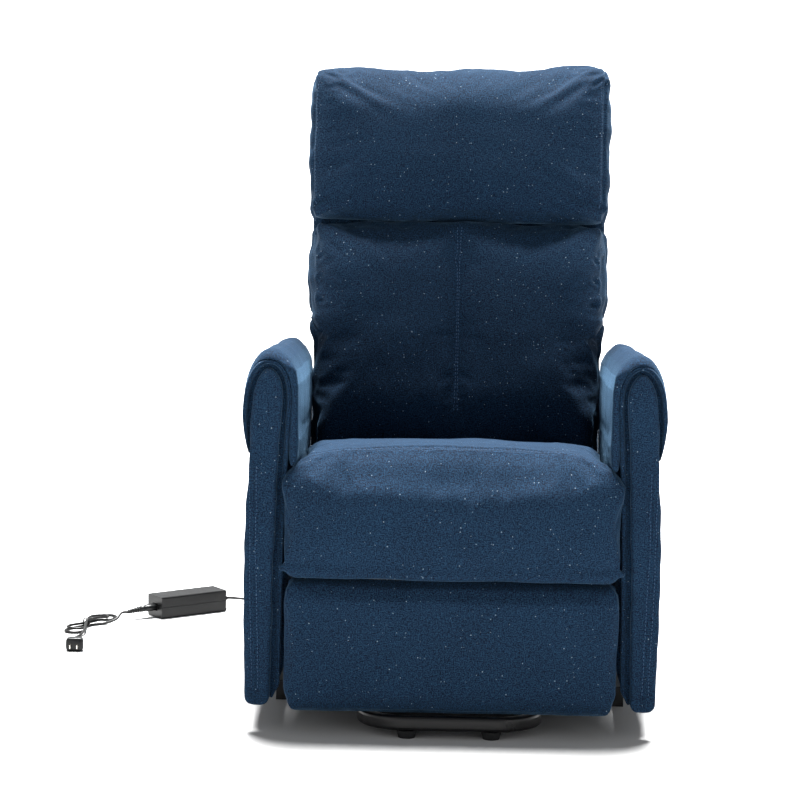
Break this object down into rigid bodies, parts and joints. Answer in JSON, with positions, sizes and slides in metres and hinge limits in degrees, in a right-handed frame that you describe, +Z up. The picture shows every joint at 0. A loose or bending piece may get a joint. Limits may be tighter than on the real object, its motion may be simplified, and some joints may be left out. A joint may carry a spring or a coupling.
{
  "type": "lift recliner chair",
  "caption": "Upholstered power lift recliner: padded arms, split back cushion, drop-front footrest, steel lift base, handset and mains adapter on its leads.",
  "frame": {"origin": "on the floor under the middle of the chair, sitting upright, leads and adapter left out", "axes": "+Z up, the sitter looks along -Y, the sitter's right is -X"},
  "size_m": [1.0919, 1.0986, 1.0692],
  "materials": {
    "steel_black": "satin black powder coat",
    "steel_gloss": "gloss black paint",
    "rubber": "matte",
    "zinc": "zinc plated",
    "plastic_black": "fine satin texture",
    "cord_jacket": "satin",
    "nickel": "nickel plated",
    "buttons": "satin",
    "navy_fabric": "woven navy upholstery cloth with pale slubs",
    "plywood": "raw plywood",
    "webbing": "elastic webbing"
  },
  "bodies": {
    "base": {"base_side_rails": "steel_black", "base_cross_tubes": "steel_black", "rail_boots": "rubber", "front_bow": "steel_gloss", "front_feet": "rubber", "lift_brackets": "steel_black", "base_pins": "zinc", "motor_bracket": "steel_black", "control_box": "plastic_black", "dc_plug": "plastic_black", "dc_lead": "cord_jacket", "adapter_case": "plastic_black", "adapter_relief": "plastic_black", "ac_connector": "plastic_black", "ac_lead": "cord_jacket", "ac_hank": "cord_jacket", "cord_tie": "cord_jacket", "ac_tail": "cord_jacket", "plug_body": "plastic_black", "plug_blades": "nickel"},
    "lift_arms": {"lift_arms": "steel_black", "lift_torque_tube": "steel_black"},
    "lift_links": {"lift_links": "steel_black"},
    "lift_motor": {"lift_motor": "plastic_black"},
    "lift_rod": {"lift_rod": "zinc"},
    "seat_frame": {"side_plates": "steel_black", "seat_cross_tubes": "steel_black", "seat_brackets": "steel_black", "seat_pins": "zinc", "seat_springs": "zinc", "seat_cushion": "navy_fabric", "arm_core_right": "navy_fabric", "arm_core_left": "navy_fabric", "facing_right": "navy_fabric", "facing_left": "navy_fabric", "arm_pad_right": "navy_fabric", "arm_pad_left": "navy_fabric", "side_pocket_right": "navy_fabric", "side_pocket_left": "navy_fabric", "arm_brackets": "steel_black", "rear_apron": "navy_fabric"},
    "backrest": {"back_torque_tube": "steel_black", "back_brackets": "steel_black", "back_frame": "plywood", "back_webbing": "webbing", "back_cushion": "navy_fabric", "head_cushion": "navy_fabric", "rear_cover": "navy_fabric"},
    "footrest_rear": {"footrest_rear_links": "steel_black"},
    "footrest_front": {"footrest_front_links": "steel_black"},
    "footrest_guide": {"footrest_guide_links": "steel_black"},
    "footrest": {"footrest_board": "plywood", "footrest_pad": "navy_fabric"},
    "recline_motor": {"recline_motor": "plastic_black"},
    "recline_rod": {"recline_rod": "zinc"},
    "handset": {"handset_case": "plastic_black"},
    "button_lift": {"button_lift": "buttons"},
    "button_lower": {"button_lower": "buttons"},
    "button_recline": {"button_recline": "buttons"},
    "button_return": {"button_return": "buttons"}
  },
  "joints": [
    {"name": "lift", "type": "hinge", "parent": "base", "child": "lift_arms", "pos_m": [0, -0.194, 0.08], "axis": [1, 0, 0], "range_deg": [0, 62]},
    {"name": "lift_link_pivot", "type": "hinge", "parent": "base", "child": "lift_links", "pos_m": [0, -0.239, 0.08], "axis": [1, 0, 0], "range_deg": [0, 66]},
    {"name": "seat_tilt", "type": "hinge", "parent": "lift_arms", "child": "seat_frame", "pos_m": [0, 0.259, 0.131], "axis": [1, 0, 0], "range_deg": [-37.5, 0]},
    {"name": "lift_motor_pivot", "type": "hinge", "parent": "base", "child": "lift_motor", "pos_m": [0, -0.32, 0.1], "axis": [1, 0, 0], "range_deg": [0, 62.5]},
    {"name": "lift_rod_slide", "type": "slide", "parent": "lift_motor", "child": "lift_rod", "axis": [0, 0.7682, 0.6402], "range_m": [0, 0.112]},
    {"name": "recline", "type": "hinge", "parent": "seat_frame", "child": "backrest", "pos_m": [0, 0.215, 0.345], "axis": [-1, 0, 0], "range_deg": [0, 35]},
    {"name": "footrest_rear_hinge", "type": "hinge", "parent": "seat_frame", "child": "footrest_rear", "pos_m": [0, -0.257, 0.241], "axis": [-1, 0, 0], "range_deg": [0, 128.5]},
    {"name": "footrest_front_hinge", "type": "hinge", "parent": "footrest_rear", "child": "footrest_front", "pos_m": [0, -0.136, 0.112], "axis": [-1, 0, 0], "range_deg": [-108.5, 0]},
    {"name": "footrest_hinge", "type": "hinge", "parent": "footrest_front", "child": "footrest", "pos_m": [0, -0.392, 0.164], "axis": [-1, 0, 0], "range_deg": [0, 64.5]},
    {"name": "footrest_guide_hinge", "type": "hinge", "parent": "seat_frame", "child": "footrest_guide", "pos_m": [0, -0.233, 0.256], "axis": [-1, 0, 0], "range_deg": [0, 131]},
    {"name": "recline_motor_pivot", "type": "hinge", "parent": "seat_frame", "child": "recline_motor", "pos_m": [0, -0.1, 0.27], "axis": [-1, 0, 0], "range_deg": [0, 1.5]},
    {"name": "recline_rod_slide", "type": "slide", "parent": "recline_motor", "child": "recline_rod", "axis": [0, 0.9983, 0.0589], "range_m": [-0.037, 0]},
    {"name": "handset_draw", "type": "slide", "parent": "seat_frame", "child": "handset", "axis": [0, 0, 1], "range_m": [0, 0.1]},
    {"name": "press_lift", "type": "slide", "parent": "handset", "child": "button_lift", "axis": [1, 0, 0], "range_m": [0, 0.001], "stiffness_N_per_m": 300},
    {"name": "press_lower", "type": "slide", "parent": "handset", "child": "button_lower", "axis": [1, 0, 0], "range_m": [0, 0.001], "stiffness_N_per_m": 300},
    {"name": "press_recline", "type": "slide", "parent": "handset", "child": "button_recline", "axis": [1, 0, 0], "range_m": [0, 0.001], "stiffness_N_per_m": 300},
    {"name": "press_return", "type": "slide", "parent": "handset", "child": "button_return", "axis": [1, 0, 0], "range_m": [0, 0.001], "stiffness_N_per_m": 300}
  ],
  "couplings": [
    {"joint": "lift_link_pivot", "follows": "lift", "ratio": 1.0576},
    {"joint": "seat_tilt", "follows": "lift", "ratio": -0.59677},
    {"joint": "lift_motor_pivot", "follows": "lift", "ratio": 1},
    {"joint": "lift_rod_slide", "follows": "lift", "m_per_rad": 0.10268},
    {"joint": "footrest_rear_hinge", "follows": "recline", "ratio": 3.6571},
    {"joint": "footrest_front_hinge", "follows": "recline", "ratio": -3.0857},
    {"joint": "footrest_hinge", "follows": "recline", "ratio": 1.8286},
    {"joint": "footrest_guide_hinge", "follows": "recline", "ratio": 3.7243},
    {"joint": "recline_motor_pivot", "follows": "recline", "ratio": 0.022857},
    {"joint": "recline_rod_slide", "follows": "recline", "m_per_rad": -0.058769}
  ]
}
